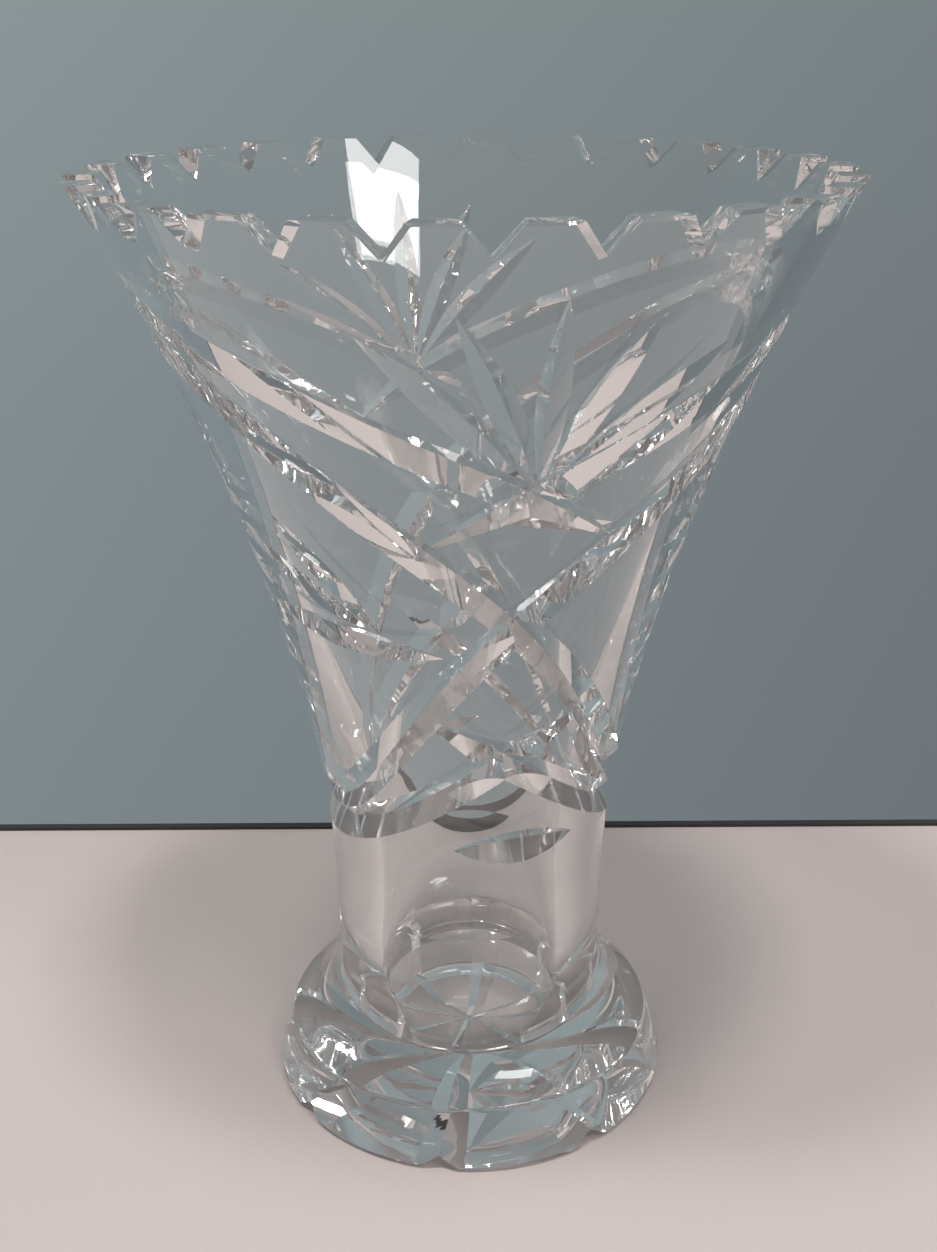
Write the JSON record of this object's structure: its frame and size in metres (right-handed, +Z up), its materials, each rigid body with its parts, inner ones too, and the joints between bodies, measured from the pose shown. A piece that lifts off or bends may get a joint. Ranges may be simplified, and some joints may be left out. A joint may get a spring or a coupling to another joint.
{
  "type": "footed glass vase",
  "caption": "Tall footed flower vase in clear cut crystal: flared bowl with a toothed rim and mitre-cut crossing bands and leaves, joined to a thick round foot with a star-cut base.",
  "frame": {"origin": "centre of the resting face under the foot, on the vase's axis", "axes": "+Z up along the vase's axis, -Y to the front where the long cuts and the fan of leaves cross"},
  "size_m": [0.186, 0.186, 0.25],
  "materials": {
    "bowl_crystal": "clear lead crystal, blown and polished, with bright V-shaped mitre cuts",
    "foot_crystal": "clear lead crystal, pressed solid and polished, with an eight-ray star cut underneath"
  },
  "bodies": {
    "root": {"flared_bowl": "bowl_crystal", "star_foot": "foot_crystal"}
  },
  "joints": []
}
